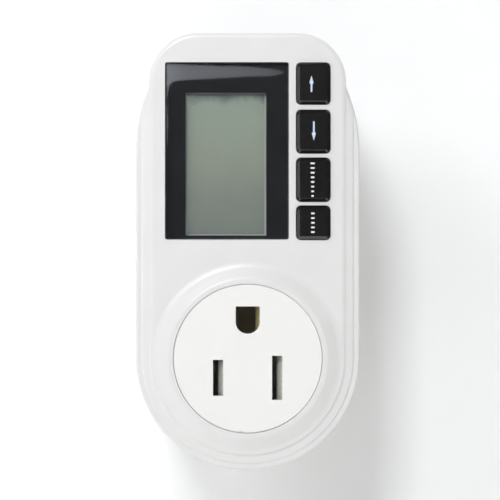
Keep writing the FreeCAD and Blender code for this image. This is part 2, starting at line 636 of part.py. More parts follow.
# ---- on the back of the display board ---------------------------------------------------------
def flat_package(x, z, wide, high, y_board, away, thick, pins):
    """A chip with a row of gull-wing pins on each side; away is +1 or -1 along Y."""
    low, top = sorted((y_board + away * 0.1, y_board + away * thick))
    body = box(x - wide / 2, x + wide / 2, low, top, z - high / 2, z + high / 2)
    pitch = wide / pins
    foot_low, foot_top = sorted((y_board, y_board + away * 0.5))
    legs = []
    for count in range(pins):
        leg_x = x - wide / 2 + pitch * (count + 0.5)
        legs.append(box(leg_x - pitch * 0.2, leg_x + pitch * 0.2, foot_low, foot_top,
                        z - high / 2 - 1.0, z + high / 2 + 1.0))
    return fused(body, *legs)


def microcontroller():
    return flat_package(-8.0, 34.0, 10.0, 8.0, DISPLAY_BACK_Y, 1, 1.4, 12)


def crystal():
    """A flat metal can."""
    return rounded_box(13.4, 16.6, DISPLAY_BACK_Y, DISPLAY_BACK_Y + 3.4, 38.5, 43.5, 1.4)


def buzzer():
    """A round sounder with a sound hole."""
    top_y = DISPLAY_BACK_Y + 6.0
    can = rod(BUZZER_X, BUZZER_Z, BUZZER_R, DISPLAY_BACK_Y, top_y)
    can = can.makeFillet(0.5, edges_at(can, top_y))
    return can.cut(rod(BUZZER_X, BUZZER_Z, 0.9, top_y - 1.5, top_y))


def backup_cell():
    """A coin cell with a stepped negative cap."""
    y0 = DISPLAY_BACK_Y + 0.5
    can = rod(CELL_X, CELL_Z, CELL_R, y0 + 0.4, y0 + 2.4)
    can = can.makeFillet(0.3, edges_at(can, y0 + 2.4))
    return fused(can, rod(CELL_X, CELL_Z, CELL_R - 1.5, y0, y0 + 0.6))


def cell_holder():
    """A moulded ring open on one side."""
    y0 = DISPLAY_BACK_Y
    ring = rod(CELL_X, CELL_Z, CELL_R + 1.4, y0, y0 + 2.2)
    ring = ring.cut(rod(CELL_X, CELL_Z, CELL_R + 0.1, y0 + 0.5, y0 + 2.2))
    return ring.cut(box(CELL_X - 4, CELL_X + 4, y0 + 0.5, y0 + 2.2, CELL_Z + 4, CELL_Z + 12))


def cell_clip():
    """A spring strip across the cell, soldered to the board on both sides."""
    top_y = DISPLAY_BACK_Y + 2.9
    reach = CELL_R + 1.5
    strip = box(CELL_X - reach - 0.3, CELL_X + reach + 0.3, top_y, top_y + 0.3, 51.0, 55.0)
    left = box(CELL_X - reach - 0.3, CELL_X - reach, DISPLAY_BACK_Y, top_y, 51.0, 55.0)
    right = box(CELL_X + reach, CELL_X + reach + 0.3, DISPLAY_BACK_Y, top_y, 51.0, 55.0)
    return fused(strip, left, right)


# ---- power board and what stands on it --------------------------------------------------------
def power_board():
    y0 = POWER_BOARD_Y
    board = box(-18.6, 18.6, y0, y0 + BOARD, 19.6, 66.0)
    board = board.common(prism(case_outline(CASE_HALF, WALL + 0.6), y0, y0 + BOARD))
    for x, z in CASE_SCREWS:
        board = board.cut(rod(x, z, 3.8, y0, y0 + BOARD))
    for x, z in POWER_SCREWS:
        board = board.cut(rod(x, z, 1.15, y0, y0 + BOARD))
    for x in (LOAD_X, -BLADE_X, BLADE_X):
        board = board.cut(box(x - 1.35, x + 1.35, y0, y0 + BOARD, STRAP_TOP_Z - 0.7,
                              STRAP_TOP_Z + GAP))
    return board


def leads(y0, places, radius=0.35):
    """Wire legs that rest on the power board."""
    return [rod(x, z, radius, y0, POWER_BOARD_Y) for x, z in places]


def x2_capacitor():
    body = box(-16.0, -3.0, -23.6, POWER_BOARD_Y - 0.4, 33.0, 39.0)
    body = body.makeFillet(0.4, edges_at(body, -23.6))
    return fused(body, *leads(-14.0, ((-14.5, 36.0), (-4.5, 36.0))))


def smoothing_capacitor():
    can = rod(8.6, 44.0, 4.0, -23.8, POWER_BOARD_Y - 0.4)
    can = can.makeFillet(0.5, edges_at(can, -23.8))
    return fused(can, *leads(-14.0, ((7.3, 44.0), (9.9, 44.0))))


def varistor():
    disc = Part.makeCylinder(4.6, 3.6, vec(12.2, -18.6, 26.4), vec(0, 0, 1))
    disc = disc.makeFillet(1.2, disc.Edges)
    return fused(disc, *leads(-17.0, ((9.9, 27.6), (14.5, 28.8))))


def axial(x, z0, z1, radius, y):
    """A resistor lying along Z with its two legs bent down to the power board."""
    body = Part.makeCylinder(radius, z1 - z0, vec(x, y, z0), vec(0, 0, 1))
    body = body.makeFillet(radius * 0.5, body.Edges)
    wire = Part.makeCylinder(0.35, z1 - z0 + 3.0, vec(x, y, z0 - 1.5), vec(0, 0, 1))
    return fused(body, wire, *leads(y, ((x, z0 - 1.5), (x, z1 + 1.5))))


def fusible_resistor():
    return axial(2.4, 28.0, 37.0, 1.8, -15.6)


def shunt_resistor():
    """A bare U of resistance alloy in the hot line."""
    radius, bend = 0.8, 2.0
    left, right, top_y, z = LOAD_X, -BLADE_X, -18.6, 25.6
    legs = [rod(x, z, radius, top_y + bend, POWER_BOARD_Y) for x in (left, right)]
    bar = Part.makeCylinder(radius, right - left - 2 * bend, vec(left + bend, top_y, z),
                            vec(1, 0, 0))
    corners = []
    for corner_x, start in ((left + bend, 180), (right - bend, 270)):
        ring = Part.makeTorus(bend, radius, vec(corner_x, top_y + bend, z), vec(0, 0, 1),
                              0, 360, 90)
        ring.rotate(vec(corner_x, top_y + bend, z), vec(0, 0, 1), start)
        corners.append(ring)
    return fused(bar, *legs, *corners)


def bridge_rectifier():
    return flat_package(10.0, 35.4, 4.8, 3.8, POWER_BOARD_Y, -1, 2.4, 2)


def meter_chip():
    return flat_package(-7.0, 51.0, 10.0, 3.9, POWER_BOARD_Y, -1, 1.7, 8)


def voltage_regulator():
    return flat_package(8.0, 53.5, 4.5, 2.5, POWER_BOARD_Y, -1, 1.6, 3)


def board_connector():
    """A tall pin header between the two boards."""
    pins, pitch = 6, 2.0
    x0, z = -9.0, 63.8
    parts = [box(x0, x0 + pins * pitch, -24.6, -15.0, z - 1.2, z + 1.2)]
    for count in range(pins):
        x = x0 + pitch * (count + 0.5)
        parts.append(box(x - 0.3, x + 0.3, DISPLAY_BACK_Y, POWER_BOARD_Y, z - 0.3, z + 0.3))
    return fused(*parts)


# ---- fasteners --------------------------------------------------------------------------------
def case_screws():
    return group(screw(x, z, SCREW_SEAT_Y, PARTING_Y - 7.0, 2.5, 1.7, 1.15)
                 for x, z in CASE_SCREWS)


def display_board_screws():
    return group(screw(x, z, DISPLAY_BACK_Y, DISPLAY_BOARD_Y - 4.0, 1.6, 1.0, 0.75)
                 for x, z in BOARD_SCREWS)


def socket_screws():
    return group(screw(x, z, RETAINER_Y + 2.0, RETAINER_Y - 5.5, 1.9, 1.3, 0.85)
                 for x, z in SOCKET_SCREWS)


def power_board_screws():
    return group(screw(x, z, POWER_BOARD_Y, -6.0, 1.8, 1.2, 0.85) for x, z in POWER_SCREWS)


def clamp_screws():
    return group(screw(x, z, CLAMP_Y, -1.4, 1.9, 1.3, 0.85) for x, z in CLAMP_SCREWS)


# ---- the assembly -----------------------------------------------------------------------------
def assembly():
    """Every sub-part by its node's name."""
    tail_end = CLAMP_Y - 0.8
    nodes = {
        "front_shell": front_shell(),
        "rear_shell": rear_shell(),
        "rating_label": rating_label(),
        "hot_blade": blade(-1),
        "neutral_blade": blade(1),
        "ground_pin": ground_pin(),
        "blade_clamp": blade_clamp(),
        "socket_insert": socket_insert(),
        "contact_retainer": contact_retainer(),
        "hot_contact": blade_contact(-1, HOT_SLOT_HALF + 0.15, -1.75, 1.75, -14.5),
        "neutral_contact": blade_contact(1, NEUTRAL_SLOT_HALF + 0.15, -4.6, -2.2, tail_end),
        "ground_contact": ground_contact(),
        "line_strap": line_strap(),
        "load_strap": load_strap(),
        "neutral_strap": neutral_strap(),
        "ground_strap": ground_strap(),
        "display_window": display_window(),
        "window_mask": window_mask(),
        "lcd_glass": lcd_glass(),
        "lcd_frame": lcd_frame(),
        "zebra_strips": zebra_strips(),
        "display_board": display_board(),
        "tactile_switches": tactile_switches(),
        "microcontroller": microcontroller(),
        "crystal": crystal(),
        "buzzer": buzzer(),
        "backup_cell": backup_cell(),
        "cell_holder": cell_holder(),
        "cell_clip": cell_clip(),
        "power_board": power_board(),
        "x2_capacitor": x2_capacitor(),
        "smoothing_capacitor": smoothing_capacitor(),
        "varistor": varistor(),
        "fusible_resistor": fusible_resistor(),
        "shunt_resistor": shunt_resistor(),
        "bridge_rectifier": bridge_rectifier(),
        "meter_chip": meter_chip(),
        "voltage_regulator": voltage_regulator(),
        "board_connector": board_connector(),
        "case_screws": case_screws(),
        "display_board_screws": display_board_screws(),
        "socket_screws": socket_screws(),
        "power_board_screws": power_board_screws(),
        "clamp_screws": clamp_screws(),
    }
    for name, low, high in KEYS:
        nodes[name + "_key"] = key(low, high)
        nodes[name + "_switch_button"] = switch_button(low, high)
    return nodes


def main():
    os.makedirs("parts", exist_ok=True)
    for name, shape in assembly().items():
        if not shape.isValid():
            print("not valid:", name)
        shape.exportStep(os.path.join("parts", name + ".step"))
        print(name, len(shape.Solids), round(shape.Volume, 1))


main()
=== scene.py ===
import json
import math

import bmesh
import bpy
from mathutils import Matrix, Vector


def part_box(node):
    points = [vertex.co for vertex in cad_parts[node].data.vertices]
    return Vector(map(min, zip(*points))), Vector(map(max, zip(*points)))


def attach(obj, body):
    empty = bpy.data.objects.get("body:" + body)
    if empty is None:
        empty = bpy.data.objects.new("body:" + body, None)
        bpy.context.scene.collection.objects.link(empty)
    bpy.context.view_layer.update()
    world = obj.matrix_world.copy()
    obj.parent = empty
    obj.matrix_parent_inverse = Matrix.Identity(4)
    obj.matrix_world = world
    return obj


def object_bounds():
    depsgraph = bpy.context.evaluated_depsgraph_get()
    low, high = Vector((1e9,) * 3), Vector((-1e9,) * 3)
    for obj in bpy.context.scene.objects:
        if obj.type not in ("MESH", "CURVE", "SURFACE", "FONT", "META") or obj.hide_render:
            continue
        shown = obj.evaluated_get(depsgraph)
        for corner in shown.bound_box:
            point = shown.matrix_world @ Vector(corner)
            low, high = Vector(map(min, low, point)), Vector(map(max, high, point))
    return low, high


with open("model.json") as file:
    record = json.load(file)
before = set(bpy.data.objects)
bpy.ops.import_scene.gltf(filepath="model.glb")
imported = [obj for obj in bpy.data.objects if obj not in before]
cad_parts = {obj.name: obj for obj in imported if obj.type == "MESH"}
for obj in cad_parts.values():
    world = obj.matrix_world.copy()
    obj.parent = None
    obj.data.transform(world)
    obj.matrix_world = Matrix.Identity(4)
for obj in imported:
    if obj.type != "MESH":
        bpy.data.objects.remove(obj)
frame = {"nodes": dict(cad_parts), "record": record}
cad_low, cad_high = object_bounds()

# A plug-in power meter.  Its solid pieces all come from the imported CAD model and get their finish
# here.  The printed key marks, the polariser of the display, a small bevel on the key caps, the
# studio and the camera are added.  Lengths are in metres.

MM = 0.001
KEYS = ("up", "down", "overload", "cost")
PLASTIC_IOR, ACRYLIC_IOR, GLASS_IOR = 1.5, 1.49, 1.5

# How far the polariser stays inside the edges of the display glass.
FILM_LEFT, FILM_RIGHT, FILM_BELOW, FILM_ABOVE = 1.62 * MM, 1.80 * MM, 2.80 * MM, 1.85 * MM


# ---- node helpers -----------------------------------------------------------------------------
class Finish:
    """A material being built: one Principled shader and the nodes that feed it."""

    def __init__(self, name):
        self.material = bpy.data.materials.new(name)
        self.material.use_nodes = True
        self.tree = self.material.node_tree
        self.shader = self.tree.nodes["Principled BSDF"]
        self.output = self.tree.nodes["Material Output"]
        self.place = self.add("ShaderNodeTexCoord").outputs["Object"]

    def add(self, kind, **settings):
        node = self.tree.nodes.new(kind)
        for key, value in settings.items():
            setattr(node, key, value)
        return node

    def link(self, source, target):
        self.tree.links.new(source, target)

    def set(self, **values):
        """Sets what is the same all over the surface, on the shader's own sockets."""
        for key, value in values.items():
            self.shader.inputs[key.replace("_", " ")].default_value = value

    def noise(self, size, detail=2.0, roughness=0.5, stretch=(1, 1, 1)):
        """Noise whose features are about size metres across."""
        mapping = self.add("ShaderNodeMapping")
        mapping.inputs["Scale"].default_value = stretch
        self.link(self.place, mapping.inputs["Vector"])
        node = self.add("ShaderNodeTexNoise")
        node.inputs["Scale"].default_value = 1.0 / size
        node.inputs["Detail"].default_value = detail
        node.inputs["Roughness"].default_value = roughness
        self.link(mapping.outputs["Vector"], node.inputs["Vector"])
        return node.outputs["Fac"]

    def ramp(self, source, low, high, colors):
        """Blends two colours as source goes from low to high."""
        node = self.add("ShaderNodeValToRGB")
        node.color_ramp.elements[0].position = low
        node.color_ramp.elements[1].position = high
        for element, color in zip(node.color_ramp.elements, colors):
            element.color = (*color, 1.0)
        self.link(source, node.inputs["Fac"])
        return node.outputs["Color"]

    def span(self, source, low, high):
        """Maps 0..1 to low..high."""
        node = self.add("ShaderNodeMapRange")
        node.inputs["To Min"].default_value = low
        node.inputs["To Max"].default_value = high
        self.link(source, node.inputs["Value"])
        return node.outputs["Result"]

    def bump(self, source, height, strength):
        """Adds relief of that height to what the surface already has."""
        node = self.add("ShaderNodeBump")
        node.inputs["Strength"].default_value = strength
        node.inputs["Distance"].default_value = height
        self.link(source, node.inputs["Height"])
        previous = self.shader.inputs["Normal"]
        if previous.is_linked:
            self.link(previous.links[0].from_socket, node.inputs["Normal"])
        self.link(node.outputs["Normal"], self.shader.inputs["Normal"])

    def color(self, source):
        self.link(source, self.shader.inputs["Base Color"])

    def rough(self, source):
        self.link(source, self.shader.inputs["Roughness"])


def shade(color, factor):
    """The colour made darker or lighter."""
    return tuple(min(1.0, value * factor) for value in color)


# ---- finishes ---------------------------------------------------------------------------------
def moulded(name, color, roughness, mottle=0.015, specular=0.5):
    """Injection-moulded plastic: fine spark-eroded grain, slow waviness and a little mottling."""
    cloud_size, sheen_size, grain_size, wave_size = 9 * MM, 1.2 * MM, 0.16 * MM, 7 * MM
    grain_depth, wave_depth, sheen_change = 0.004 * MM, 0.01 * MM, 0.05
    finish = Finish(name)
    finish.set(IOR=PLASTIC_IOR, Specular_IOR_Level=specular)
    clouds = finish.noise(cloud_size, 2.0)
    finish.color(finish.ramp(clouds, 0.3, 0.7,
                             (shade(color, 1 - mottle), shade(color, 1 + mottle))))
    finish.rough(finish.span(finish.noise(sheen_size, 3.0),
                             roughness - sheen_change, roughness + sheen_change))
    finish.bump(finish.noise(grain_size, 2.0), grain_depth, 0.6)
    finish.bump(finish.noise(wave_size, 1.0), wave_depth, 0.5)
    return finish.material


def metal(name, color, roughness, stretch=(1, 1, 1)):
    """Worked metal: directional fine scratches and a light uneven tarnish."""
    tarnish_size, scratch_size, scratch_depth = 2.5 * MM, 0.25 * MM, 0.003 * MM
    tarnished = shade(color, 0.88)
    finish = Finish(name)
    finish.set(Metallic=1.0)
    finish.color(finish.ramp(finish.noise(tarnish_size, 4.0, 0.6), 0.35, 0.7,
                             (tarnished, color)))
    scratches = finish.noise(scratch_size, 3.0, 0.6, stretch)
    finish.rough(finish.span(scratches, roughness - 0.08, roughness + 0.12))
    finish.bump(scratches, scratch_depth, 0.7)
    return finish.material


def glossy_black(name):
    """Polished black key caps under a thin clear coat."""
    cloud_size, sheen_size, grain_size, grain_depth = 3 * MM, 0.8 * MM, 0.15 * MM, 0.001 * MM
    finish = Finish(name)
    finish.set(IOR=PLASTIC_IOR, Specular_IOR_Level=0.8, Coat_Weight=0.5, Coat_Roughness=0.06)
    finish.color(finish.ramp(finish.noise(cloud_size, 2.0), 0.3, 0.7,
                             ((0.011, 0.010, 0.010), (0.014, 0.013, 0.013))))
    finish.rough(finish.span(finish.noise(sheen_size, 3.0), 0.10, 0.15))
    finish.bump(finish.noise(grain_size, 2.0), grain_depth, 0.5)
    return finish.material


def dull_metal(name, color):
    """Contact metal gone dull, part mirror and part oxide."""
    patch_size, sheen_size = 0.9 * MM, 0.3 * MM
    oxide = shade(color, 0.82)
    finish = Finish(name)
    finish.set(Metallic=0.2)
    finish.color(finish.ramp(finish.noise(patch_size, 3.0, 0.6), 0.3, 0.7, (oxide, color)))
    finish.rough(finish.span(finish.noise(sheen_size, 2.0), 0.38, 0.55))
    return finish.material


def clear_window(name):
    """Polished clear plastic.  Lamp light passes straight through, so what lies behind is lit."""
    wave_size, wave_depth = 14 * MM, 0.012 * MM
    finish = Finish(name)
    finish.set(IOR=ACRYLIC_IOR, Roughness=0.015, Transmission_Weight=1.0)
    finish.set(Base_Color=(0.96, 0.975, 0.98, 1.0))
    finish.bump(finish.noise(wave_size, 1.0), wave_depth, 0.4)
    path = finish.add("ShaderNodeLightPath")
    open_way = finish.add("ShaderNodeBsdfTransparent")
    open_way.inputs["Color"].default_value = (0.95, 0.96, 0.97, 1.0)
    mix = finish.add("ShaderNodeMixShader")
    finish.link(path.outputs["Is Shadow Ray"], mix.inputs[0])
    finish.link(finish.shader.outputs["BSDF"], mix.inputs[1])
    finish.link(open_way.outputs["BSDF"], mix.inputs[2])
    finish.link(mix.outputs["Shader"], finish.output.inputs["Surface"])
    return finish.material


def bare_glass(name):
    """The margin of the display, without its polariser."""
    sheen_size = 0.3 * MM
    finish = Finish(name)
    finish.set(Base_Color=(0.20, 0.22, 0.20, 1.0), IOR=GLASS_IOR)
    finish.rough(finish.span(finish.noise(sheen_size, 2.0), 0.3, 0.45))
    return finish.material


def liquid_crystal(name):
    """The blank reflective display: grey-green, cloudy, darker downwards, with a painted shadow
    under the top edge.
    """
    cloud_size, cloud_share = 8 * MM, 0.30
    sheen_size, grain_size, grain_depth = 0.3 * MM, 0.12 * MM, 0.001 * MM
    finish = Finish(name)
    low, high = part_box("lcd_glass")
    split = finish.add("ShaderNodeSeparateXYZ")
    finish.link(finish.place, split.inputs["Vector"])
    height = finish.add("ShaderNodeMapRange")
    height.inputs["From Min"].default_value = low.z
    height.inputs["From Max"].default_value = high.z - FILM_ABOVE
    finish.link(split.outputs["Z"], height.inputs["Value"])
    cloudy_height = finish.add("ShaderNodeMath", operation="MULTIPLY_ADD")
    cloudy_height.inputs[1].default_value = cloud_share
    finish.link(finish.noise(cloud_size, 4.0, 0.65, (1, 1, 0.6)), cloudy_height.inputs[0])
    finish.link(height.outputs["Result"], cloudy_height.inputs[2])

    # Each colour with its cloudy height, which runs from 0 to about 1.2.
    tallest = 1.2
    stops = ((0.12, (0.096, 0.104, 0.091)), (0.45, (0.124, 0.134, 0.108)),
             (0.75, (0.163, 0.174, 0.130)), (0.95, (0.171, 0.198, 0.150)),
             # The last, dark stop is a painted shadow, standing in for the shade the mask's top
             # edge casts.
             (1.08, (0.170, 0.198, 0.154)), (1.16, (0.082, 0.094, 0.081)))
    ramp = finish.add("ShaderNodeValToRGB")
    while len(ramp.color_ramp.elements) < len(stops):
        ramp.color_ramp.elements.new(0.5)
    for element, (place, color) in zip(ramp.color_ramp.elements, stops):
        element.position = place / tallest
        element.color = (*color, 1.0)
    scaled = finish.add("ShaderNodeMath", operation="MULTIPLY")
    scaled.inputs[1].default_value = 1.0 / tallest
    finish.link(cloudy_height.outputs[0], scaled.inputs[0])
    finish.link(scaled.outputs[0], ramp.inputs["Fac"])
    finish.color(ramp.outputs["Color"])
    finish.set(IOR=GLASS_IOR)
    finish.rough(finish.span(finish.noise(sheen_size, 2.0), 0.42, 0.6))
    finish.bump(finish.noise(grain_size, 1.0), grain_depth, 0.5)
    return finish.material


def circuit_board(name):
    """Solder resist over a faint glass weave."""
    green = (0.018, 0.13, 0.05)
    weave_size, weave_depth, sheen_size = 0.8 * MM, 0.01 * MM, 0.5 * MM
    finish = Finish(name)
    weave = finish.noise(weave_size, 1.0, 0.5, (3, 1, 1))
    finish.color(finish.ramp(weave, 0.3, 0.7, (shade(green, 0.8), shade(green, 1.25))))
    finish.rough(finish.span(finish.noise(sheen_size), 0.3, 0.42))
    finish.bump(weave, weave_depth, 0.5)
    return finish.material


def printed(name, color):
    """Pad-printed ink, a little broken up."""
    speck_size, sheen_size = 0.15 * MM, 0.2 * MM
    thin = shade(color, 0.86)
    finish = Finish(name)
    finish.color(finish.ramp(finish.noise(speck_size, 2.0), 0.25, 0.6, (thin, color)))
    finish.rough(finish.span(finish.noise(sheen_size), 0.45, 0.6))
    return finish.material


def striped_rubber(name):
    """Rubber in thin stripes that conduct and thin stripes that don't."""
    carbon, silicone = (0.02, 0.02, 0.02), (0.5, 0.42, 0.36)
    band_scale = 1.0 / (3 * MM)  # bands come out 0.31 / scale apart, so here 0.94 mm
    finish = Finish(name)
    wave = finish.add("ShaderNodeTexWave", wave_type="BANDS", bands_direction="X")
    wave.inputs["Scale"].default_value = band_scale
    finish.link(finish.place, wave.inputs["Vector"])
    finish.color(finish.ramp(wave.outputs["Fac"], 0.4, 0.6, (carbon, silicone)))
    finish.set(Roughness=0.7)
    return finish.material


def finishes():
    """One material for each of the record's slots."""
    along_blade = (1, 0.15, 1)
    return {
        "case_white": moulded("case_white", (0.748, 0.734, 0.728), 0.34),
        "insert_white": moulded("insert_white", (0.838, 0.822, 0.804), 0.42, mottle=0.008),
        "frame_white": moulded("frame_white", (0.78, 0.78, 0.76), 0.5),
        "key_black": glossy_black("key_black"),
        "window_clear": clear_window("window_clear"),
        "mask_black": moulded("mask_black", (0.037, 0.037, 0.040), 0.6, mottle=0.1, specular=0.1),
        "lcd_grey_green": bare_glass("lcd_grey_green"),
        "zebra_rubber": striped_rubber("zebra_rubber"),
        "board_green": circuit_board("board_green"),
        "switch_black": moulded("switch_black", (0.02, 0.02, 0.02), 0.5),
        "switch_actuator": moulded("switch_actuator", (0.45, 0.45, 0.43), 0.5),
        "chip_black": moulded("chip_black", (0.022, 0.022, 0.024), 0.6),
        "plated_metal": metal("plated_metal", (0.66, 0.65, 0.63), 0.28),
        "insulator_black": moulded("insulator_black", (0.02, 0.02, 0.02), 0.45),
        "blade_brass": metal("blade_brass", (0.80, 0.60, 0.30), 0.30, along_blade),
        "contact_brass": metal("contact_brass", (0.74, 0.55, 0.26), 0.34, along_blade),
        "capacitor_yellow": moulded("capacitor_yellow", (0.72, 0.48, 0.05), 0.35),
        "capacitor_sleeve": moulded("capacitor_sleeve", (0.015, 0.02, 0.05), 0.3),
        "varistor_blue": moulded("varistor_blue", (0.02, 0.09, 0.35), 0.3),
        "resistor_tan": moulded("resistor_tan", (0.50, 0.36, 0.22), 0.45),
        "contact_tinned": dull_metal("contact_tinned", (0.93, 0.92, 0.86)),
        "dull_brass": dull_metal("dull_brass", (0.72, 0.62, 0.33)),
        "retainer_grey": moulded("retainer_grey", (0.74, 0.74, 0.68), 0.5),
        "shunt_alloy": metal("shunt_alloy", (0.60, 0.47, 0.38), 0.4),
        "screw_steel": metal("screw_steel", (0.55, 0.55, 0.56), 0.32),
        "label_silver": moulded("label_silver", (0.56, 0.57, 0.58), 0.35, mottle=0.01),
    }


def dress_cad_nodes(by_slot):
    """Gives each CAD node its slot's finish."""
    for part in frame["record"]["subparts"]:
        node = frame["nodes"][part["node"]]
        node.data.materials.clear()
        node.data.materials.append(by_slot[part["material_slot"]])


# ---- printed marks ----------------------------------------------------------------------------
INK = 0.015 * MM  # thickness


def flat_piece(name, outlines, y, body, material):
    """Thin ink: closed outlines of (x, z) at the depth y, each given INK of thickness."""
    mesh = bpy.data.meshes.new(name)
    built = bmesh.new()
    for outline in outlines:
        back = [built.verts.new((x, y, z)) for x, z in outline]
        front = [built.verts.new((x, y - INK, z)) for x, z in outline]
        built.faces.new(back)
        built.faces.new(list(reversed(front)))
        for i in range(len(outline)):
            j = (i + 1) % len(outline)
            built.faces.new((back[j], back[i], front[i], front[j]))
    bmesh.ops.recalc_face_normals(built, faces=built.faces)
    built.to_mesh(mesh)
    built.free()
    piece = bpy.data.objects.new(name, mesh)
    bpy.context.scene.collection.objects.link(piece)
    mesh.materials.append(material)
    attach(piece, body)


def arrow(long, way):
    """A narrow arrow round (0, 0); way is 1 for up and -1 for down."""
    head_half, head_long, shaft_half, barb = 0.46 * MM, 1.75 * MM, 0.17 * MM, 0.1 * MM
    tip, neck, tail = long / 2, long / 2 - head_long, -long / 2
    right = [(0, tip), (head_half, neck + barb), (shaft_half * 1.15, neck), (shaft_half, tail)]
    left = [(-across, up) for across, up in reversed(right[1:])]
    return [(across, way * up) for across, up in right + left]


def bar(height, wide, high):
    """A small bar with clipped corners, whose middle is at (0, height)."""
    clip = min(wide, high) * 0.25
    across, up = wide / 2, high / 2
    corners = [(across, up - clip), (across - clip, up), (clip - across, up), (-across, up - clip),
               (-across, clip - up), (clip - across, -up), (across - clip, -up),
               (across, clip - up)]
    return [(aside, height + above) for aside, above in corners]


def ladder(bars, narrow, wide):
    """A column of bars round (0, 0) that widen from the bottom to the top."""
    pitch, high = 1.0 * MM, 0.36 * MM
    shares = [step / (bars - 1) for step in range(bars)]
    return [bar((share - 0.5) * (bars - 1) * pitch, narrow + (wide - narrow) * share, high)
            for share in shares]


def key_mark(key, aside, above, outlines, ink):
    """Prints outlines on a key's face; aside and above place them from the middle of the face."""
    low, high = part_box(key + "_key")
    x, z = (low.x + high.x) / 2 + aside, (low.z + high.z) / 2 + above
    placed = [[(x + across, z + up) for across, up in outline] for outline in outlines]
    flat_piece(key + "_mark", placed, low.y, key + "_key", ink)


def key_marks():
    """Generic marks on the keys: two arrows, a ladder of widening bars and a short stack."""
    blue_ink = printed("key_ink", (0.62, 0.74, 0.90))
    white_ink = printed("key_ink_white", (0.80, 0.84, 0.86))
    key_mark("up", -0.40 * MM, -0.08 * MM, [arrow(3.5 * MM, 1)], blue_ink)
    key_mark("down", 0.10 * MM, 0.10 * MM, [arrow(4.1 * MM, -1)], blue_ink)
    key_mark("overload", -0.15 * MM, 0, ladder(8, 0.55 * MM, 0.95 * MM), white_ink)
    key_mark("cost", -0.10 * MM, 0, ladder(5, 0.80 * MM, 0.80 * MM), white_ink)


def display_film(material):
    """The polariser on the display glass, a little smaller than the opening in the mask."""
    low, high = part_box("lcd_glass")
    left, right = low.x + FILM_LEFT, high.x - FILM_RIGHT
    below, above = low.z + FILM_BELOW, high.z - FILM_ABOVE
    flat_piece("display_film", [[(left, below), (right, below), (right, above), (left, above)]],
               low.y, "meter", material)


# ---- studio -----------------------------------------------------------------------------------
# The camera looks straight along +Y at this point of the front, where its view is this wide.
VIEW_X, VIEW_Z = 0.5 * MM, 27.45 * MM
VIEW_DISTANCE = 540 * MM
VIEW_WIDTH = 107.5 * MM


def bare_material(name):
    """A material with only its output node, with its node tree and that node."""
    material = bpy.data.materials.new(name)
    material.use_nodes = True
    tree = material.node_tree
    tree.nodes.clear()
    return material, tree, tree.nodes.new("ShaderNodeOutputMaterial")


def one_sided(name, color):
    """A backdrop finish that shows only from its front, so that the meter's back can be seen."""
    material, tree, output = bare_material(name)
    mix = tree.nodes.new("ShaderNodeMixShader")
    face = tree.nodes.new("ShaderNodeBsdfDiffuse")
    face.inputs["Color"].default_value = (*color, 1.0)
    clear = tree.nodes.new("ShaderNodeBsdfTransparent")
    side = tree.nodes.new("ShaderNodeNewGeometry")
    tree.links.new(side.outputs["Backfacing"], mix.inputs[0])
    tree.links.new(face.outputs["BSDF"], mix.inputs[1])
    tree.links.new(clear.outputs["BSDF"], mix.inputs[2])
    tree.links.new(mix.outputs["Shader"], output.inputs["Surface"])
    return material


def glowing(name, color, strength):
    material, tree, output = bare_material(name)
    light = tree.nodes.new("ShaderNodeEmission")
    light.inputs["Color"].default_value = (*color, 1.0)
    light.inputs["Strength"].default_value = strength
    tree.links.new(light.outputs["Emission"], output.inputs["Surface"])
    return material


def fading(name, color, left, right, stops):
    """A glow whose strength follows stops, each (share of the way from left to right, strength)."""
    material = glowing(name, color, 1.0)
    tree = material.node_tree
    place = tree.nodes.new("ShaderNodeTexCoord")
    split = tree.nodes.new("ShaderNodeSeparateXYZ")
    share = tree.nodes.new("ShaderNodeMapRange")
    share.inputs["From Min"].default_value = left
    share.inputs["From Max"].default_value = right
    curve = tree.nodes.new("ShaderNodeValToRGB")
    while len(curve.color_ramp.elements) < len(stops):
        curve.color_ramp.elements.new(0.5)
    brightest = max(strength for _, strength in stops)
    for element, (place_along, strength) in zip(curve.color_ramp.elements, stops):
        element.position = place_along
        element.color = (*[strength / brightest] * 3, 1.0)
    scale = tree.nodes.new("ShaderNodeMath")
    scale.operation = "MULTIPLY"
    scale.inputs[1].default_value = brightest
    tree.links.new(place.outputs["Object"], split.inputs["Vector"])
    tree.links.new(split.outputs["X"], share.inputs["Value"])
    tree.links.new(share.outputs["Result"], curve.inputs["Fac"])
    tree.links.new(curve.outputs["Color"], scale.inputs[0])
    tree.links.new(scale.outputs[0], tree.nodes["Emission"].inputs["Strength"])
    return material


def staged_sheet(name, corners, material):
    mesh = bpy.data.meshes.new(name)
    mesh.from_pydata(corners, [], [tuple(range(len(corners)))])
    mesh.materials.append(material)
    sheet = bpy.data.objects.new(name, mesh)
    bpy.context.scene.collection.objects.link(sheet)
    return sheet


def reflected_sheet(name, corners, material):
    """A stage sheet that only glossy reflections show."""
    sheet = staged_sheet(name, corners, material)
    sheet.visible_camera = False
    sheet.visible_diffuse = False
    sheet.visible_transmission = False
    sheet.visible_shadow = False


def area_light(name, place, aim, wide, high, power, color=(1, 1, 1)):
    data = bpy.data.lights.new(name, "AREA")
    data.shape = "RECTANGLE"
    data.size, data.size_y = wide, high
    data.energy = power
    data.color = color
    lamp = bpy.data.objects.new(name, data)
    lamp.location = place
    lamp.rotation_mode = "QUATERNION"
    lamp.rotation_quaternion = (Vector(aim) - Vector(place)).to_track_quat("-Z", "Y")
    lamp.visible_camera = False
    bpy.context.scene.collection.objects.link(lamp)
    return lamp


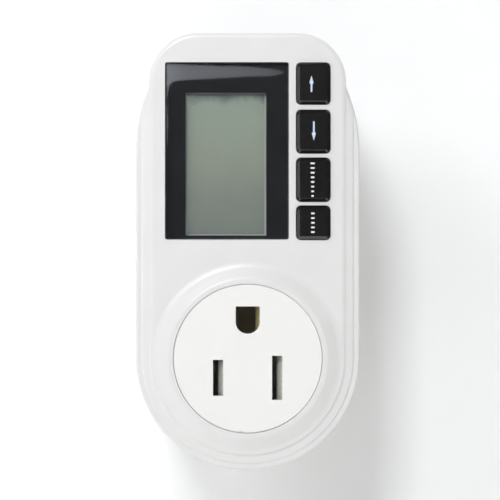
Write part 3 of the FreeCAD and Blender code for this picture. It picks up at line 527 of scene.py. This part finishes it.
def surround():
    """An even pale studio that is dark on the side the camera stands, so black faces stay black."""
    dark_within, pale_beyond = math.radians(14), math.radians(36)
    dark, pale = 0.03, 0.54
    world = bpy.data.worlds.new("surround")
    world.use_nodes = True
    tree = world.node_tree
    background = tree.nodes["Background"]
    background.inputs["Color"].default_value = (1.0, 1.0, 0.98, 1.0)
    direction = tree.nodes.new("ShaderNodeTexCoord")
    forward = tree.nodes.new("ShaderNodeVectorMath")
    forward.operation = "DOT_PRODUCT"
    forward.inputs[1].default_value = (0, -1, 0)
    strength = tree.nodes.new("ShaderNodeMapRange")
    strength.interpolation_type = "SMOOTHSTEP"
    strength.inputs["From Min"].default_value = math.cos(pale_beyond)
    strength.inputs["From Max"].default_value = math.cos(dark_within)
    strength.inputs["To Min"].default_value = pale
    strength.inputs["To Max"].default_value = dark
    tree.links.new(direction.outputs["Generated"], forward.inputs[0])
    tree.links.new(forward.outputs["Value"], strength.inputs["Value"])
    tree.links.new(strength.outputs["Result"], background.inputs["Strength"])
    return world


def studio():
    """A white wall just behind the plug, a pale floor well below, four lamps and the surround."""
    wall_gap, floor_z, reach = 1.5 * MM, -0.28, 2.0
    wall_y = cad_high.y + wall_gap
    staged_sheet("backdrop", [(-reach, wall_y, floor_z), (reach, wall_y, floor_z),
                              (reach, wall_y, reach), (-reach, wall_y, reach)],
                 one_sided("backdrop_white", (0.99, 0.99, 0.99)))
    staged_sheet("floor", [(-reach, -reach, floor_z), (reach, -reach, floor_z),
                           (reach, reach, floor_z), (-reach, reach, floor_z)],
                 one_sided("floor_pale", (0.92, 0.92, 0.915)))

    middle = ((cad_low.x + cad_high.x) / 2, cad_low.y, (cad_low.z + cad_high.z) / 2)
    cool, warm = (0.95, 0.975, 1.0), (1.0, 0.97, 0.93)
    area_light("key_light", (-0.19, -1.05, 0.53), middle, wide=0.22, high=0.22, power=5.05,
               color=cool)
    side_light = area_light("side_light", (-0.80, -0.62, 0.72), middle, wide=0.45, high=0.45,
                            power=4.3, color=cool)
    side_light.visible_glossy = False
    area_light("low_light", (-0.10, -0.70, -0.45), middle, wide=0.5, high=0.3, power=0.1,
               color=warm)
    area_light("back_light", (0.7, 1.0, 0.6), middle, wide=0.8, high=0.8, power=4.0)
    bpy.context.scene.world = surround()
    bpy.context.scene.view_settings.view_transform = "Standard"


def smooth(points):
    """A rounded path through the points."""
    steps = 5
    path = []
    for i in range(len(points) - 1):
        before, start = Vector(points[max(i - 1, 0)]), Vector(points[i])
        end, after = Vector(points[i + 1]), Vector(points[min(i + 2, len(points) - 1)])
        for step in range(steps):
            t = step / steps
            bend = (2 * before - 5 * start + 4 * end - after) * t * t
            swing = (3 * start - before - 3 * end + after) * t ** 3
            path.append(start + ((end - before) * t + bend + swing) / 2)
    return path + [Vector(points[-1])]


def window_card():
    """A slim tapered light card that the window mirrors as a streak along its top edge."""
    low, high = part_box("display_window")
    card_away = 1.0
    spread = 1 + card_away / VIEW_DISTANCE

    def seen_at(x, z):
        """The point of the card that the camera sees mirrored at x, z on the window."""
        return (VIEW_X + (x - VIEW_X) * spread, low.y - card_away, VIEW_Z + (z - VIEW_Z) * spread)

    # The streak's outline: the share of the window's width from its left edge, and the distance
    # below its top edge in millimetres.
    top = [(0.003, 0.25), (0.25, 0.43), (0.455, 0.68), (0.658, 0.79), (0.86, 1.22), (0.928, 1.65),
           (0.969, 2.1)]
    underside = [(0.915, 2.65), (0.793, 2.85), (0.671, 2.83), (0.455, 3.3), (0.252, 3.54),
                 (0.076, 4.0), (0.042, 4.55), (0.022, 5.6), (0.014, 9.0), (0.011, 18.0)]
    corner = [(0.005, 18.0), (0.003, 9.0)]
    outline = [seen_at(low.x + across * (high.x - low.x), high.z - down * MM)
               for across, down in smooth(top + underside) + corner]
    left, right = outline[0][0], seen_at(high.x, high.z)[0]
    strengths = ((0.0, 5.6), (0.12, 3.6), (0.6, 2.9), (0.9, 2.1), (1.0, 1.2))
    card = staged_sheet("window_card", outline,
                        fading("window_card", (0.88, 0.92, 1.0), left, right, strengths))
    card.visible_camera = False
    card.visible_diffuse = False
    card.visible_transmission = False


def glint_card():
    """A small bright card, up and to the left of the camera, that draws the collar's highlights."""
    half, strength = 0.07, 22.0
    aim = Vector((0.0, cad_low.y, 4 * MM))
    away = Vector((-0.275, -0.934, 0.23)).normalized()
    middle = aim + away
    across = away.cross(Vector((0, 0, 1))).normalized() * half
    up = across.cross(away).normalized() * half
    corners = [middle - across - up, middle + across - up, middle + across + up,
               middle - across + up]
    reflected_sheet("glint_card", [tuple(corner) for corner in corners],
                    glowing("glint_card", (1.0, 1.0, 1.0), strength))


def edge_cards():
    """A dim card far out on each side, seen only in reflections, that lights the keys' bevels."""
    reach, half = 0.30, 0.07
    near, far = cad_low.y - 0.015, cad_low.y - 0.075
    key_z = (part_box("cost_key")[0].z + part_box("up_key")[1].z) / 2
    low, high = key_z - half, key_z + half
    for name, x, strength in (("left", -reach, 5.0), ("right", reach, 2.0)):
        reflected_sheet("edge_card_" + name,
                        [(x, far, low), (x, near, low), (x, near, high), (x, far, high)],
                        glowing("edge_card_" + name, (0.95, 0.97, 1.0), strength))


def flags():
    """Black cards round the front, seen only in reflections, that give gloss its dark edges."""
    reach = 0.32
    near, far = cad_high.y, cad_low.y - 113 * MM
    black = glowing("flag_black", (0, 0, 0), 0.0)
    for end, x in (("low", -reach), ("high", reach)):
        reflected_sheet("flag_x_" + end, [(x, far, -reach), (x, near, -reach), (x, near, reach),
                                          (x, far, reach)], black)
        z = VIEW_Z + x
        reflected_sheet("flag_z_" + end, [(-reach, far, z), (reach, far, z), (reach, near, z),
                                          (-reach, near, z)], black)


def camera():
    data = bpy.data.cameras.new("camera")
    data.sensor_width = 36.0
    data.lens = data.sensor_width * VIEW_DISTANCE / VIEW_WIDTH
    data.clip_start, data.clip_end = 0.01, 20.0
    eye = bpy.data.objects.new("camera", data)
    front_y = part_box("display_window")[0].y
    eye.location = (VIEW_X, front_y - VIEW_DISTANCE, VIEW_Z)
    eye.rotation_euler = (math.radians(90), 0, 0)
    bpy.context.scene.collection.objects.link(eye)
    bpy.context.scene.camera = eye


def rounded_edges():
    """Softens the edges of the key caps so that they catch the light."""
    same_point, round_off, sharp = 0.001 * MM, 0.40 * MM, math.radians(30)
    for key in KEYS:
        modifiers = frame["nodes"][key + "_key"].modifiers
        joined = modifiers.new("joined", "WELD")
        joined.merge_threshold = same_point
        edge = modifiers.new("edge", "BEVEL")
        edge.width = round_off
        edge.segments = 4
        edge.limit_method = "ANGLE"
        edge.angle_limit = sharp
        flat = modifiers.new("flat", "WEIGHTED_NORMAL")
        flat.weight = 100


dress_cad_nodes(finishes())
rounded_edges()
key_marks()
display_film(liquid_crystal("display_film"))
studio()
window_card()
glint_card()
edge_cards()
flags()
camera()
